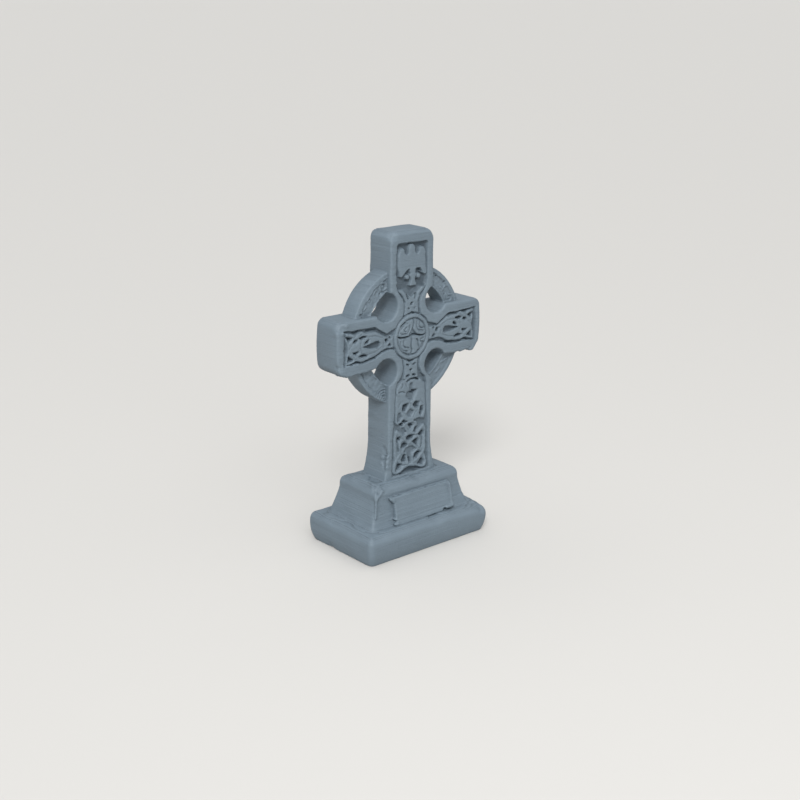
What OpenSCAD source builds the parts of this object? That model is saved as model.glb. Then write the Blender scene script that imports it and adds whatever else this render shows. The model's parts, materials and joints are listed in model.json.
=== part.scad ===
// Ringed cross memorial: a small printed model, cross, ring, plinth and slab in one solid piece.
// Millimetres, +Z up, the carved front faces -Y, the middle of the underside is at the origin.

/* [Overall] */
// Height from the ground to the top of the head
total_height = 65; // [50:0.5:90]
// Width across the two arms
arm_span = 37.8; // [28:0.1:50]
// Height of the middle of the ring below the top of the head
head_rise = 21.3; // [16:0.1:28]

/* [Slab] */
// Width of the bottom slab
slab_width = 32.2; // [24:0.1:44]
// Depth of the bottom slab, front to back
slab_depth = 20.6; // [15:0.1:30]
// Height of the bottom slab
slab_height = 6.2; // [4:0.1:10]
// Roundness of the slab's upper edge
slab_edge = 2.6; // [1:0.1:3.4]
// How far the slab's sides draw in at the ground
slab_foot = 0.7; // [0.2:0.1:1.5]
// Roundness of the slab's upright corners
slab_corner = 1; // [0.5:0.1:3]

/* [Plinth] */
// Width of the plinth where it meets the slab
plinth_foot_width = 25.4; // [20:0.1:32]
// Depth of the plinth where it meets the slab
plinth_foot_depth = 15; // [12:0.1:20]
// Width of the plinth below its shoulder
plinth_head_width = 22.2; // [17:0.1:28]
// Depth of the plinth below its shoulder
plinth_head_depth = 11.8; // [9:0.1:16]
// Height of the plinth's top above the ground
plinth_height = 14.6; // [12:0.1:20]
// Roundness of the plinth's shoulder
plinth_shoulder = 2.5; // [0.8:0.1:3]
// Roundness of the plinth's upright corners
plinth_corner = 1; // [0.3:0.1:2]

/* [Plaque] */
// Width of the blank tablet on the plinth's front
plaque_width = 16; // [10:0.1:19]
// Gap between the slab and the tablet's lower edge
plaque_gap = 0.5; // [0.1:0.1:1.5]
// Height of the plinth's top above the tablet's upper edge
plaque_drop = 2.6; // [2:0.1:4]
// How far the tablet's lower edge stands out
plaque_lift = 0.9; // [0.4:0.1:1.6]
// Radius of the rolled ends of the tablet
plaque_roll = 0.45; // [0.3:0.05:0.8]

/* [Shaft and arms] */
// Width of the shaft where it leaves the plinth
shaft_foot_width = 13.2; // [10:0.1:17]
// Width of the shaft above its flared foot
shaft_width = 11.5; // [9:0.1:14]
// Height of the flared foot
shaft_flare = 6; // [3:0.1:8]
// Depth of shaft, arms and head, front to back
cross_depth = 6.6; // [5:0.1:9]
// Width of the upper limb
head_width = 11; // [9:0.1:14]
// Height of each arm
arm_height = 10.4; // [8:0.1:13]
// Roundness of the upper corners of the head
head_corner = 2.3; // [0.5:0.1:3.5]
// Roundness of the corners of the arm ends
arm_corner = 1.4; // [0.5:0.1:3]
// Slant of the front edges
edge_cut = 0.35; // [0.15:0.05:0.8]
// Slant of the back edges
back_cut = 0.2; // [0.1:0.05:0.8]

/* [Ring] */
// Outer radius of the ring
ring_outer = 14.4; // [12:0.1:17]
// Inner radius of the ring
ring_inner = 10.9; // [9.5:0.1:12]
// Thickness of the ring, front to back
ring_depth = 4.4; // [3:0.1:5]
// Width of the ring's plain rims
ring_rim = 0.6; // [0.3:0.1:1]
// Radius of each scooped corner between limb and arm
scoop_radius = 2.85; // [2:0.05:3.5]
// Distance of each scoop's middle from the cross's own, sideways
scoop_across = 6.5; // [5.8:0.1:7.5]
// Distance of each scoop's middle from the cross's own, up and down
scoop_up = 6.65; // [5.8:0.1:7.5]

/* [Carving] */
// Depth of the carved grooves
groove_depth = 0.5; // [0.2:0.05:0.9]
// Width of the groove round each panel
groove_width = 0.4; // [0.2:0.05:0.7]
// How far the strapwork lies below the plain border
strap_drop = 0.12; // [0:0.02:0.3]
// Plain border beside the shaft's panel
shaft_border = 1.45; // [0.8:0.05:2]
// Plain border round the arm panels
arm_border = 1.5; // [0.8:0.05:2]
// Border between a scoop and the upright panels
limb_pinch = 1.6; // [1:0.05:2.2]
// Border between a scoop and the arm panels
arm_pinch = 2.15; // [1:0.05:2.8]
// Radius of the middle roundel
roundel_radius = 4.6; // [3.5:0.05:5.5]
// Width of the roundel's rim
roundel_rim = 0.95; // [0.5:0.05:1.3]
// How far the roundel stands proud
roundel_rise = 0.15; // [0:0.05:0.5]

/* [Hidden] */
$fn = 48;
centre_z = total_height - head_rise;
plaque_bottom = slab_height + plaque_gap;
plaque_top = plinth_height - plaque_drop;
shaft_half = shaft_width / 2;
shaft_top_half = shaft_half - 0.3;
panel_bottom = plinth_height + 0.3;
panel_top = total_height - 2.5;
panel_half = head_width / 2 - 1.4;
shaft_panel = centre_z - scoop_up - panel_bottom;
body = [0.42, 0.46, 0.49];

// points on an arc, n steps from angle a to angle b
function arc(x, y, r, a, b, n = 8) =
  [for (i = [0:n]) [x + r * cos(a + (b - a) * i / n), y + r * sin(a + (b - a) * i / n)]];
// a half outline and its mirror image, one closed loop
function both(half) =
  concat(half, [for (i = [len(half) - 1:-1:0]) [-half[i][0], half[i][1]]]);
// pillowed side of the slab: drawn in at the ground, fullest below its round upper edge
function slab_side(w) = let (full = slab_height - slab_edge) both(concat(
  [[w - slab_foot - 0.5, 0]],
  [for (i = [0:4]) let (t = i / 4) [w - slab_foot * pow(1 - t, 2), 0.4 + (full - 0.4) * t]],
  arc(w - slab_edge, full, slab_edge, 10, 90, 8)));
// side of the plinth: hollow flare below, round shoulder above, faintly domed top
function plinth_side(foot, head) = both(concat(
  [for (i = [0:6]) [head + (foot - head) * pow(1 - i / 6, 1.4),
    slab_height - 1 + (plinth_height - plinth_shoulder - slab_height + 1) * i / 6]],
  arc(head - plinth_shoulder, plinth_height - plinth_shoulder - 0.25,
    plinth_shoulder, 10, 78, 6),
  [[shaft_half - 2, plinth_height + 0.1]]));
// half width of the shaft's own outline at height z
function shaft_at(z) = z > plinth_height + shaft_flare
  ? shaft_half - 0.3 * (z - plinth_height - shaft_flare) / (centre_z - plinth_height - shaft_flare)
  : shaft_half + (shaft_foot_width - shaft_width) / 2
    * pow(max(0, 1 - (z - plinth_height) / shaft_flare), 1.4);
// heights along the shaft's panel, as a share of its length
function up(s) = panel_bottom + shaft_panel * s;

// a rectangle with rounded corners, seen from above
module rounded(w, d, r) {
  across = w / 2 - r;
  deep = d / 2 - r;
  polygon(concat(
    arc(across, deep, r, 0, 90), arc(-across, deep, r, 90, 180),
    arc(-across, -deep, r, 180, 270), arc(across, -deep, r, 270, 360)));
}

// a profile drawn in x and z, run through from front to back
module through_y(d) rotate([90, 0, 0]) linear_extrude(d, center = true) children();
// a profile drawn in y and z, run through from side to side
module through_x(w) rotate([90, 0, 90]) linear_extrude(w, center = true) children();

// bottom slab with softly pillowed sides
module slab() intersection() {
  through_y(slab_depth + 2) polygon(slab_side(slab_width / 2));
  through_x(slab_width + 2) polygon(slab_side(slab_depth / 2));
  linear_extrude(slab_height + 1) rounded(slab_width, slab_depth, slab_corner);
}

// leaning plinth that flares out onto the slab
module plinth() intersection() {
  through_y(plinth_foot_depth + 2)
    polygon(plinth_side(plinth_foot_width / 2, plinth_head_width / 2));
  through_x(plinth_foot_width + 2)
    polygon(plinth_side(plinth_foot_depth / 2, plinth_head_depth / 2));
  translate([0, 0, slab_height - 1.5]) linear_extrude(plinth_height)
    rounded(plinth_foot_width + 0.1, plinth_foot_depth + 0.1, plinth_corner);
}

// blank tablet, leaning out towards its lower edge, with a roll at either end
module plaque() {
  top_y = plinth_head_depth / 2 + 0.3;
  low_y = plinth_head_depth / 2 + 0.7 + plaque_lift;
  slope = atan((low_y - top_y) / (plaque_top - plaque_bottom));
  run = (plaque_top - plaque_bottom) / cos(slope);
  through_x(plaque_width) polygon([
    [-top_y, plaque_top], [-low_y, plaque_bottom], [-low_y + 0.7, plaque_bottom],
    [-low_y + 1.1, plaque_bottom - 0.3], [0, plaque_bottom - 0.3], [0, plaque_top]]);
  for (side = [-1, 1])
    translate([side * (plaque_width / 2 - 0.1), -low_y + 0.15, plaque_bottom])
      rotate([-slope, 0, 0]) cylinder(r = plaque_roll, h = run - 0.15, $fn = 20);
}

// right-hand edges of shaft, arm and head, each drawn from top to bottom
function shaft_edge() = [
  [shaft_top_half, centre_z - scoop_up + 1.5],
  for (i = [4:-1:0]) let (z = plinth_height + shaft_flare * i / 4) [shaft_at(z), z]];
function arm_edge() = concat(
  [[scoop_across, centre_z + arm_height / 2]],
  arc(arm_span / 2 - arm_corner, centre_z + arm_height / 2 - arm_corner, arm_corner, 90, 0, 4),
  arc(arm_span / 2 - arm_corner, centre_z - arm_height / 2 + arm_corner, arm_corner, 0, -90, 4),
  [[scoop_across, centre_z - arm_height / 2]]);
function head_edge() = concat(
  [[0.01, total_height]],
  arc(head_width / 2 - head_corner, total_height - head_corner, head_corner, 86, 0, 5),
  [[head_width / 2 - 0.15, centre_z + scoop_up - 1.5]]);

// flat outline of shaft, arms and head with its four scooped corners
module outline() difference() {
  union() {
    polygon(both(concat([[shaft_top_half, centre_z]], shaft_edge(),
      [[shaft_at(plinth_height), plinth_height - 1.2]])));
    polygon(both(concat(head_edge(), [[head_width / 2 - 0.15, centre_z]])));
    polygon(both(arm_edge()));
  }
  scoops() circle(r = scoop_radius);
}

// places its child at the middle of each scooped corner
module scoops()
  for (x = [-1, 1], z = [-1, 1])
    translate([x * scoop_across, centre_z + z * scoop_up]) children();

// whatever is drawn in x and z lands on the front face, heights standing out
module on_face() translate([0, -cross_depth / 2, 0]) rotate([90, 0, 0]) children();

// cuts a slant along the edge from p to q, the open side lying on its left
module edge_bar(p, q, cut) {
  v = q - p;
  translate([p[0], p[1], 0]) rotate([0, 0, atan2(v[1], v[0])]) rotate([-45, 0, 0])
    translate([-0.12, -1.5, -cut / sqrt(2)]) cube([norm(v) + 0.24, 3, 3]);
}

// slants every edge of one face of the cross
module slanted_edges(cut) {
  for (m = [0, 1], path = [shaft_edge(), arm_edge(), head_edge()])
    mirror([m, 0, 0])
      for (i = [0:len(path) - 2]) edge_bar(path[i], path[i + 1], cut);
  scoops() translate([0, 0, -cut - 0.1])
    cylinder(r1 = scoop_radius - 0.1, r2 = scoop_radius + cut + 0.5, h = cut + 0.6);
}

// side view of the cross, its top rounded from front to back
module depth_profile() {
  r = 0.9;
  polygon(both(concat(
    [[cross_depth / 2, plinth_height - 1]],
    arc(cross_depth / 2 - r, total_height - r, r, 0, 90, 6))));
}

// the ring, its front and back faces a little sunk between plain rims
module ring() {
  h = ring_depth / 2;
  translate([0, 0, centre_z]) rotate([90, 0, 0]) rotate_extrude($fn = 96) polygon([
    [ring_inner, -h + 0.3], [ring_inner + 0.3, -h], [ring_outer - 0.3, -h],
    [ring_outer, -h + 0.3], [ring_outer, h - 0.4], [ring_outer - 0.4, h],
    [ring_outer - ring_rim - 0.3, h], [ring_outer - ring_rim - 0.5, h - 0.25],
    [ring_inner + 0.8, h - 0.25], [ring_inner + 0.6, h], [ring_inner + 0.3, h],
    [ring_inner, h - 0.3]]);
}

// the upright panels, e in from their edge
module limb_panel(e) difference() {
  polygon(both([
    [shaft_at(panel_bottom) - shaft_border - e, panel_bottom + e],
    [shaft_at(panel_bottom + shaft_flare) - shaft_border - e, panel_bottom + shaft_flare],
    [shaft_at(centre_z - scoop_up - 3) - shaft_border + 0.1 - e, centre_z - scoop_up - 3],
    [panel_half - 0.2 - e, centre_z + scoop_up + 2],
    [panel_half - e, panel_top - 0.5 - e],
    [panel_half - 0.5 - e, panel_top - e]]));
  scoops() circle(r = scoop_radius + limb_pinch + e);
  translate([0, centre_z]) {
    circle(r = roundel_radius - 0.1 + e);
    square([arm_span, roundel_radius * 1.5], center = true);
  }
}

// the arm panels, e in from their edge
module arm_panel(e) difference() {
  translate([0, centre_z]) square(
    [arm_span - 2 * (arm_border + e), arm_height - 2 * (1.65 + e)], center = true);
  scoops() circle(r = scoop_radius + arm_pinch + e);
  translate([0, centre_z]) circle(r = roundel_radius - 0.1 + e);
}

// pierced eyes between the straps: a diamond w wide and h high, its widest point at share m
module eye(x, z, w, h, m = 0.5)
  for (s = x == 0 ? [1] : [-1, 1])
    translate([s * x, z]) polygon([
      [-w / 2, 0], [s * w * (m - 0.5), -h / 2], [w / 2, 0], [s * w * (m - 0.5), h / 2]]);

// a three-cornered eye, pointing along angle a
module corner_eye(x, z, r, a)
  for (s = [-1, 1]) translate([s * x, z])
    polygon([for (i = [0:2]) let (t = a + 120 * i) [s * r * cos(t), r * sin(t)]]);

// eyes of the close plait in each neck, t = -1 below the roundel and 1 above it
module neck_eyes(t) {
  step = (scoop_up - roundel_radius + limb_pinch) / 4;
  z0 = centre_z + t * (roundel_radius + 0.35);
  for (i = [0:2]) translate([0, z0 + t * step * 2.1 * i]) eye(0, 0, i == 0 ? 1.5 : 0.8, 0.45);
  for (i = [0:1]) eye(0.85, z0 + t * step * (2.1 * i + 1), 0.7, 0.3);
}

// eyes of the two knots that fill the shaft's panel
module shaft_eyes() {
  corner_eye(2.95, up(0.085), 0.85, -30);
  eye(1.8, up(0.155), 1.1, 1.2, 0.7);
  polygon(both([[0.25, up(0.095)], [0.3, up(0.17)], [1.25, up(0.205)], [0.6, up(0.235)]]));
  corner_eye(1.65, up(0.285), 0.85, 180);
  eye(0, up(0.35), 1.8, 1.1);
  eye(3.05, up(0.355), 1.1, 0.7, 0.8);
  eye(3.2, up(0.27), 0.35, 2.2);
  corner_eye(1.6, up(0.425), 0.7, 90);
  eye(0, up(0.465), 1.1, 1);
  eye(1.55, up(0.52), 1.4, 0.5);
  eye(3.45, up(0.48), 1.6, 0.6, 0.8);
  eye(0, up(0.59), 1.8, 1.5);
  eye(3, up(0.585), 0.7, 1.8);
  corner_eye(1.55, up(0.66), 0.9, 150);
  polygon(both([[0.01, up(0.71)], [0.9, up(0.76)], [1.35, up(0.8)], [0.01, up(0.815)]]));
  polygon(both([[0.5, up(0.83)], [0.35, up(0.885)], [0.01, up(0.91)]]));
  eye(0, up(0.93), 2.6, 0.45);
}

// eyes of the knot in each arm, its long middle gap and the notched border at its end
module arm_eyes() translate([0, centre_z - 0.1]) {
  for (t = [-1, 1]) {
    corner_eye(arm_span / 2 - 2.75, t * 2, 0.65, t * 45);
    eye(arm_span / 2 - 4.3, t * 1.1, 0.9, 0.5);
    eye(arm_span / 2 - 5.95, t * 1.8, 1.7, 0.4);
    eye(arm_span / 2 - 7.1, t * 0.85, 0.9, 0.5);
    eye(roundel_radius + 1.45, t * 0.75, 0.7, 0.35);
  }
  for (s = [-1, 1]) scale([s, 1]) {
    polygon(concat(arc(roundel_radius + 4.5, 0, 0.55, 90, 270),
      [[roundel_radius + 6.3, -0.35], [roundel_radius + 7.7, 0], [roundel_radius + 6.3, 0.35]]));
    polygon([[arm_span / 2 - 1.8, -1.6], [arm_span / 2 - 1.3, -1.6],
      [arm_span / 2 - 1.3, 1.6], [arm_span / 2 - 1.8, 1.6], [arm_span / 2 - 2.3, 0]]);
  }
  eye(roundel_radius + 2.2, 0, 0.65, 0.6);
}

// a bird with spread wings, feet and fanned tail, as a flat shape
module bird() {
  z = total_height - 11.1;
  polygon(both([
    [0.85, z], [0.55, z + 1.1], [0.75, z + 1.4], [1.5, z + 1], [1.9, z + 1.7],
    [1.1, z + 2.3], [0.65, z + 2.4], [0.85, z + 3.3], [1.7, z + 3], [2.3, z + 2.3],
    [3.4, z + 1.9], [3.65, z + 3], [3.5, z + 6.6], [2.9, z + 7.6], [2, z + 7.4],
    [1.8, z + 6.4], [1.2, z + 6], [0.75, z + 6.5], [0.95, z + 7.6], [0.55, z + 8.2],
    [0.01, z + 8.35]]));
}

// what stays standing inside the upright panels
module limb_relief() {
  join = centre_z + scoop_up + 2;
  difference() {
    limb_panel(groove_width);
    shaft_eyes();
    for (t = [-1, 1]) neck_eyes(t);
    polygon(both([[0.01, join - 0.4], [3, join + 0.8], [9, join + 1.2], [9, total_height],
      [0.01, total_height]]));
    for (s = [-1, 1]) translate([s * 6.8, panel_bottom + 4.4]) circle(r = 2.2);
    polygon(both([[0.01, panel_bottom + 1.1], [1.4, panel_bottom + 0.9],
      [3.1, panel_bottom - 0.2], [0.01, panel_bottom - 0.3]]));
  }
  bird();
}

// what stays standing inside the arm panels
module arm_relief() difference() {
  arm_panel(groove_width);
  arm_eyes();
  for (s = [-1, 1], t = [-1, 1])
    translate([s * (arm_span / 2 - 4.6), centre_z + t * 4.2]) circle(r = 1.25);
}

// middle roundel: a rim round four looped quarters
module roundel() translate([0, centre_z, 0]) {
  r = roundel_radius - roundel_rim;
  difference() {
    translate([0, 0, -1]) cylinder(r = roundel_radius, h = 1 + roundel_rise);
    translate([0, 0, roundel_rise - 0.4]) linear_extrude(1) difference() {
      circle(r = r);
      intersection() {
        circle(r = r - 0.3);
        for (a = [0:90:270]) rotate(a) translate([0.22, 0.22]) difference() {
          square(r);
          translate([1.25, 1.25]) difference() {
            circle(r = 0.95);
            circle(r = 0.6);
          }
        }
      }
    }
  }
}

// everything cut away from the front face
module carved_face() {
  on_face() translate([0, 0, -groove_depth]) linear_extrude(2) {
    difference() {
      limb_panel(0);
      limb_relief();
    }
    difference() {
      arm_panel(0);
      arm_relief();
    }
  }
  on_face() translate([0, 0, -strap_drop]) linear_extrude(2) {
    limb_panel(-0.07);
    arm_panel(-0.07);
  }
}

// the back keeps the same sunk panels, left plain
module plain_face() rotate([0, 0, 180]) on_face() translate([0, 0, -groove_depth / 2])
  linear_extrude(2) {
    limb_panel(0.2);
    arm_panel(0.2);
  }

// shaft, arms and head, carved
module cross_body() difference() {
  intersection() {
    through_y(20) outline();
    through_x(arm_span + 10) depth_profile();
  }
  on_face() slanted_edges(edge_cut);
  rotate([0, 0, 180]) on_face() slanted_edges(back_cut);
  carved_face();
  plain_face();
}

module ringed_cross() color(body) union() {
  slab();
  plinth();
  plaque();
  cross_body();
  ring();
  on_face() roundel();
  rotate([0, 0, 180]) on_face() roundel();
}

ringed_cross();
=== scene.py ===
# %% [markdown]
# # A small printed ringed cross
# The object is one solid print in blue-grey plastic: slab, plinth with a blank tablet, shaft, ring
# and two arms, with worn strapwork sunk into the front face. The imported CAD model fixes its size
# and place. Everything here is built round it, in the same frame, with the carved front facing -Y.

# %% Load the frame
import json
import bpy
import numpy as np
from math import cos, radians, sin
from mathutils import Matrix, Vector


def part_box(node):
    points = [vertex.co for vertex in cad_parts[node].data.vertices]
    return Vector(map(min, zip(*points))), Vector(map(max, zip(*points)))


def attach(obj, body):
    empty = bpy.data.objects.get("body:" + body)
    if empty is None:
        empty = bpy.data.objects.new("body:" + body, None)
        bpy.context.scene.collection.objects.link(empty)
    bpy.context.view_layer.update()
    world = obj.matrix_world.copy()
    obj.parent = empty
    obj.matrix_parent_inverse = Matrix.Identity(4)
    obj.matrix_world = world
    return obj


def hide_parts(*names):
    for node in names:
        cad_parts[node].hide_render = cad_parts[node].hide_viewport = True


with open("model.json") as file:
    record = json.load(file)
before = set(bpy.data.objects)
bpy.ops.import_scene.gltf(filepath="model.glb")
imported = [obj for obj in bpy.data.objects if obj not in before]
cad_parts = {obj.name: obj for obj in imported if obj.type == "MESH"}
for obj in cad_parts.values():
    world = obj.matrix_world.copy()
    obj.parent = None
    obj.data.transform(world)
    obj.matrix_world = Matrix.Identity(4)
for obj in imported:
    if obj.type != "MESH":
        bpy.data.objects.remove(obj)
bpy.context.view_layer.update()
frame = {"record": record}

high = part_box("ringed_cross")[1]
MM = 0.001
tall = high.z / MM
arm_reach = high.x / MM
slab_deep = high.y / MM
print(f"frame: {tall:.1f} mm tall, arms reach {arm_reach:.2f} mm, slab reaches {slab_deep:.2f} mm deep")

# %% [markdown]
# ## Working by distance
# Carving as fine as this is hard to push out of a cage of faces. It is easier to describe by
# distance: every point of a fine grid gets a number, below zero inside the plastic and above zero
# outside, and the surface is where the number crosses zero. Shapes then join with a minimum, cut
# with a maximum, and a soft minimum leaves the small hollow that a print has in every inner corner.

# %% The working grid, in millimetres
step = np.array([0.105, 0.15, 0.105], np.float32)
margin = 0.5
grid_low = np.array([-arm_reach - margin, -slab_deep - margin, -margin], np.float32)
grid_high = np.array([arm_reach + margin, slab_deep + margin, tall + margin], np.float32)
counts = np.ceil((grid_high - grid_low) / step).astype(int) + 1
xs, ys, zs = (grid_low[i] + step[i] * np.arange(counts[i], dtype=np.float32) for i in range(3))
X, Z = np.meshgrid(xs, zs, indexing="ij")
print(f"grid of {counts[0]} x {counts[1]} x {counts[2]} points")

# %% Joining, cutting and ramps


def ramp(value, start, end):
    """0 at start, 1 at end, smooth between."""
    t = np.clip((value - start) / (end - start), 0, 1)
    return t * t * (3 - 2 * t)


def join(a, b, soft):
    """Both shapes, with a hollow of about the size soft where they meet."""
    h = np.clip(0.5 + 0.5 * (b - a) / soft, 0, 1)
    return b + (a - b) * h - soft * h * (1 - h)


def overlap(a, b, edge):
    """What two shapes share, its outer edge rounded to the radius edge."""
    u = np.maximum(a + edge, 0)
    v = np.maximum(b + edge, 0)
    return np.minimum(np.maximum(a, b), -edge) + np.sqrt(u * u + v * v)


print(f"two faces that touch gain {-join(0.0, 0.0, 0.3):.3f} mm of plastic between them")

# %% Soft unevenness


def lattice(values, size):
    """Rows that blend a few random numbers, size millimetres apart, along one axis."""
    place = (values - values[0]) / size
    cell = place.astype(int)
    rows = np.zeros((len(values), cell[-1] + 2), np.float32)
    blend = ramp(place - cell, 0, 1)
    rows[np.arange(len(values)), cell] = 1 - blend
    rows[np.arange(len(values)), cell + 1] = blend
    return rows


def unevenness(seed, size):
    """Flat noise over the x and z grid, from -1 to 1, with lumps of the given size."""
    across, up = lattice(xs, size), lattice(zs, size)
    numbers = np.random.default_rng(seed).uniform(-1, 1, (across.shape[1], up.shape[1]))
    return (across @ numbers.astype(np.float32)) @ up.T


def wavy_row(seed, size, row):
    """One level row of the flat noise, running across the grid."""
    return unevenness(seed, size)[:, row, None, None]


def unevenness_3d(seed, size, z_values):
    """Solid noise over the grid, for the heights in z_values."""
    rows = [lattice(v, size) for v in (xs, ys, z_values)]
    shape = [r.shape[1] for r in rows]
    numbers = np.random.default_rng(seed).uniform(-1, 1, shape).astype(np.float32)
    return np.einsum("ai,bj,ck,ijk->abc", *rows, numbers, optimize=True)


print(f"unevenness from {unevenness(1, 3).min():.2f} to {unevenness(1, 3).max():.2f}")

# %% Flat shapes on the face: polygons, discs and curves


def polygon(points, x=X, z=Z):
    """Distance to a closed outline, below zero inside it."""
    nearest = np.full(x.shape, 1e6, np.float32)
    inside = np.zeros(x.shape, bool)
    for (ax, az), (bx, bz) in zip(points, points[1:] + points[:1]):
        ex, ez = bx - ax, bz - az
        wx, wz = x - ax, z - az
        t = np.clip((wx * ex + wz * ez) / (ex * ex + ez * ez), 0, 1)
        nearest = np.minimum(nearest, (wx - ex * t) ** 2 + (wz - ez * t) ** 2)
        if az != bz:
            inside ^= ((az > z) != (bz > z)) & (wx < wz * ex / ez)
    return np.where(inside, -1, 1) * np.sqrt(nearest)


def disc(cx, cz, radius, x=X, z=Z):
    """Distance to a disc, below zero inside it."""
    return np.hypot(x - cx, z - cz) - radius


def both_sides(half):
    """A closed outline from its right half, listed from the bottom up."""
    return half + [(-x, z) for x, z in reversed(half) if x > 0]


def curve(points, pieces=5):
    """A smooth line through the points."""
    p = np.array([points[0]] + list(points) + [points[-1]], float)
    t = np.linspace(0, 1, pieces, endpoint=False)[:, None]
    spans = [0.5 * (2 * b + (c - a) * t + (2 * a - 5 * b + 4 * c - d) * t ** 2
                    + (3 * b - a - 3 * c + d) * t ** 3)
             for a, b, c, d in zip(p, p[1:], p[2:], p[3:])]
    return np.vstack(spans + [p[-1:]])


def to_line(points, x=X, z=Z):
    """Distance to a smooth line, and how far along it the nearest point lies."""
    path = curve(points)
    nearest = np.full(x.shape, 1e6, np.float32)
    along = np.zeros(x.shape, np.float32)
    gone = 0
    for (ax, az), (bx, bz) in zip(path, path[1:]):
        ex, ez = bx - ax, bz - az
        length = np.hypot(ex, ez)
        t = np.clip(((x - ax) * ex + (z - az) * ez) / length ** 2, 0, 1)
        d = (x - ax - ex * t) ** 2 + (z - az - ez * t) ** 2
        closer = d < nearest
        nearest = np.where(closer, d, nearest)
        along = np.where(closer, gone + t * length, along)
        gone += length
    return np.sqrt(nearest), along


def area(covered):
    """Square millimetres of the face where covered is true."""
    return covered.sum() * step[0] * step[2]


print(f"a disc of radius 1 mm covers {area(disc(0, tall / 2, 1.0) < 0):.2f} square mm")

# %% [markdown]
# ## The outline of the cross
# Seen from the front, the shaft tapers up from a flared foot, the arms are plain bars with soft
# ends, the head is a little narrower than the shaft, and four round scoops bite into the inner
# corners. It could be drawn as one long outline, but as separate flat shapes each keeps its own
# sizes, so the outline is their minimum with the scoops cut out.

# %% Sizes of the cross
middle = tall - 21.3
plinth_top = 14.6
scoop_across, scoop_up, scoop_radius = 6.5, 6.65, 2.85
arm_half = 5.2
head_half = 5.58
shaft_foot, shaft_taper, shaft_shift = 5.82, 0.22, 0.12
flare_out, flare_up = 1.0, 6.5
wander = 0.07 * unevenness(3, 2.6)
Xw = X + wander + 0.045 * unevenness(4, 0.7)
Zw = Z + 0.07 * unevenness(5, 2.3) + 0.045 * unevenness(6, 0.8)
right = np.abs(Xw)
print(f"arms cross the shaft at {middle:.1f} mm, lines wander by up to {np.abs(wander).max():.2f} mm")

# %% Shaft, head and arms as one outline


def bar(x, z, half_x, half_z, corner):
    """Distance to a bar with round corners, its middle at zero."""
    u = np.abs(x) - half_x + corner
    v = np.abs(z) - half_z + corner
    return np.hypot(np.maximum(u, 0), np.maximum(v, 0)) + np.minimum(np.maximum(u, v), 0) - corner


foot_flare = np.clip(1 - (Z - plinth_top) / flare_up, 0, 1.4) ** 1.7
way_up = np.clip((Z - plinth_top) / (middle - plinth_top), 0, 1)
shaft_half = shaft_foot - shaft_taper * way_up + flare_out * foot_flare
shaft = overlap(np.abs(X + shaft_shift) - shaft_half, Z - middle, 0.1)
head_corner = np.where(X > 0, 2.6, 1.9)
head = bar(X, Z - (middle + tall) / 2, head_half + 0.1 * unevenness(7, 4), (tall - middle) / 2, head_corner)
arm_bulge = 0.42 * ((Z - middle) / arm_half) ** 2
rough_under = np.where(Z < middle, ramp(np.abs(X), 8, 12), 0)
scar = 0.2 * unevenness(8, 0.5) + 0.2 * unevenness(9, 1.2) - 0.14
sag = np.where(X < 0, 0.22, 0.1) * ramp(np.abs(X), 8, 16)
arm_corner = np.where(Z < middle, 1.7, 1.35)
arms = bar(X, Z - middle - rough_under * (scar - sag * 0.5), arm_reach - 0.02 - arm_bulge,
           arm_half + rough_under * 0.16, arm_corner)
outline = np.minimum(np.minimum(shaft, head), arms)
for side in (-1, 1):
    for above in (-1, 1):
        hole = disc(side * scoop_across, middle + above * scoop_up, scoop_radius + 0.5 * wander)
        outline = -join(-outline, hole, 0.05)
outline = outline + 0.35 * wander
print(f"outline covers {area(outline < 0):.0f} square mm")

# %% [markdown]
# ## The carved face
# Relief is one height map over x and z: zero on the plain border, below zero where the face is
# sunk. Straps could be bevelled curves laid on the face, but worn carving has no undercuts, and on
# a map everything melts into one skin. The panels go down first, then straps, knots and the bird
# are lifted back out of the floor, and last the small eyes between the straps are cut, because
# those are what one reads first.

# %% Sink and lift
floor_level = -0.72
strap_level = -0.08
slit_level = -0.85
eye_level = -0.98
deepest_level = -1.3
mirrored, as_drawn = (1, -1), (1,)
relief = 0.02 * unevenness(11, 1.2)


def sink(surface, shape, level, edge=0.07):
    """Lowers the surface to a level inside a shape."""
    cover = ramp(shape, edge, -edge)
    return surface + (np.minimum(surface, level) - surface) * cover


def lift(surface, shape, level, edge=0.07):
    """Raises the surface to a level inside a shape."""
    cover = ramp(shape, edge, -edge)
    return surface + (np.maximum(surface, level) - surface) * cover


def strap(surface, points, width, phase):
    """A rounded strap along a line and its mirror image, riding over and under as it goes."""
    for side in mirrored:
        d, along = to_line(points, Xw * side, Zw)
        weave = 0.06 * np.cos(np.pi * along / 2.3 + phase + (0 if side > 0 else np.pi))
        round_off = 0.2 * np.clip(d / (width / 2), 0, 1) ** 2
        surface = lift(surface, d - width / 2, strap_level + weave - round_off)
    return surface


def cut(surface, points, sides=mirrored):
    """An eye of any outline, and its mirror image if both sides are asked for."""
    for side in sides:
        surface = sink(surface, polygon(points, Xw * side, Zw) - 0.05, eye_level)
    return surface


def cut_eyes(surface, outlines, level, x, z):
    """Many eyes at once, the straps between them rounded off towards every rim."""
    nearest = np.minimum.reduce([polygon(outline, x, z) for outline in outlines]) - 0.06
    surface = surface - 0.2 * ramp(nearest, 0.38, 0) * (surface > -0.5)
    return sink(surface, nearest, level)


def slit(surface, points, width, level=slit_level, sides=mirrored):
    """A thin cut along a smooth line, and its mirror image if both sides are asked for."""
    for side in sides:
        d, _ = to_line(points, Xw * side, Zw)
        surface = sink(surface, d - width / 2, level)
    return surface


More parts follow.
